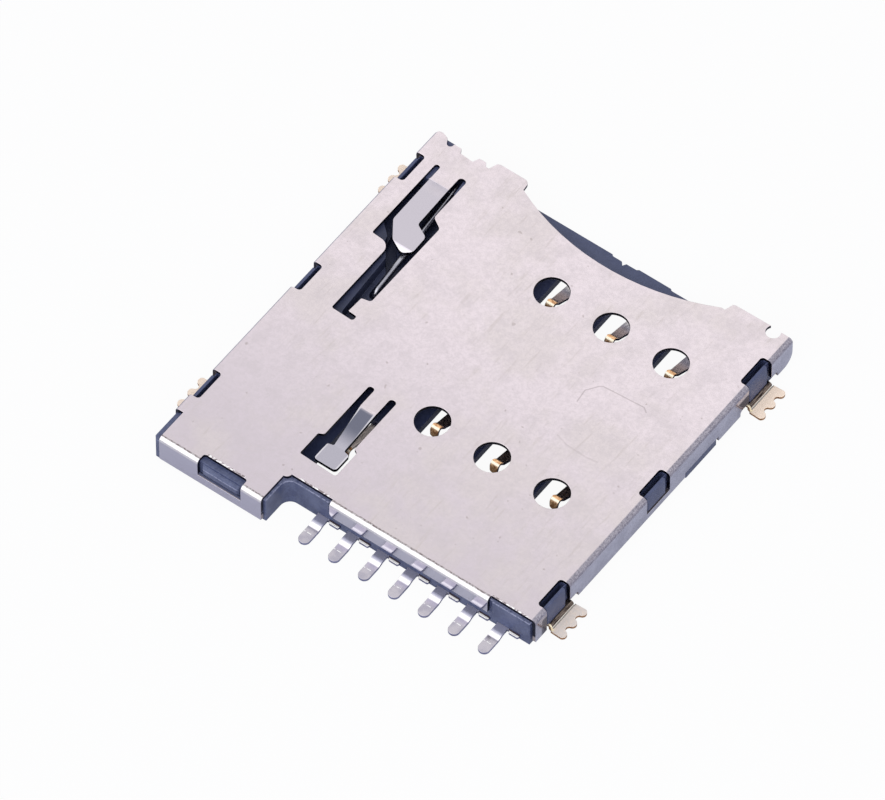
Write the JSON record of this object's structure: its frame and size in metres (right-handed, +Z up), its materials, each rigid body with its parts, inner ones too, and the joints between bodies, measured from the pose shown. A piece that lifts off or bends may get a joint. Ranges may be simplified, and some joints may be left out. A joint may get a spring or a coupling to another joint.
{
  "type": "push-push SIM card socket",
  "caption": "Low surface-mount push-push socket for a micro-size SIM card, with folded steel shell, moulded housing, sprung card contacts, card detect contact and solder tabs.",
  "frame": {"origin": "middle of the footprint, over the solder tabs and the shell, on the board face", "axes": "+Z up from the board, +Y towards the card mouth, +X across, away from the eject mechanism"},
  "size_m": [0.0166, 0.0164, 0.0014],
  "materials": {
    "shell_steel": "satin stainless sheet",
    "housing_plastic": "moulded high-temperature plastic, slightly glossy",
    "slider_plastic": "moulded plastic",
    "pin_steel": "drawn wire",
    "spring_steel": "coiled wire",
    "contact_plating": "bronze strip, tin-plated tail, gold-plated tip",
    "tab_plating": "bronze strip, plated"
  },
  "bodies": {
    "socket": {"housing": "housing_plastic", "shell": "shell_steel", "contact_c1": "contact_plating", "contact_c2": "contact_plating", "contact_c3": "contact_plating", "contact_c5": "contact_plating", "contact_c6": "contact_plating", "contact_c7": "contact_plating", "detect_contact": "contact_plating", "solder_tab_front_left": "tab_plating", "solder_tab_front_right": "tab_plating", "solder_tab_rear_left": "tab_plating", "solder_tab_rear_right": "tab_plating", "eject_spring": "spring_steel"},
    "slider": {"cam_slider": "slider_plastic"},
    "pin": {"follower_pin": "pin_steel"}
  },
  "joints": [
    {"name": "slider_push", "type": "slide", "parent": "socket", "child": "slider", "axis": [0, -1, 0], "range_m": [0, 0.0042], "stiffness_N_per_m": 200, "springref_m": -0.001, "deforming": ["eject_spring"]},
    {"name": "pin_swing", "type": "hinge", "parent": "socket", "child": "pin", "pos_m": [-0.00581, 0.007, 0.0008], "axis": [0, 0, 1], "range_deg": [-2.5, 0]}
  ],
  "couplings": [
    {"joint": "pin_swing", "follows": "slider_push", "rad_per_m": -9.512}
  ]
}
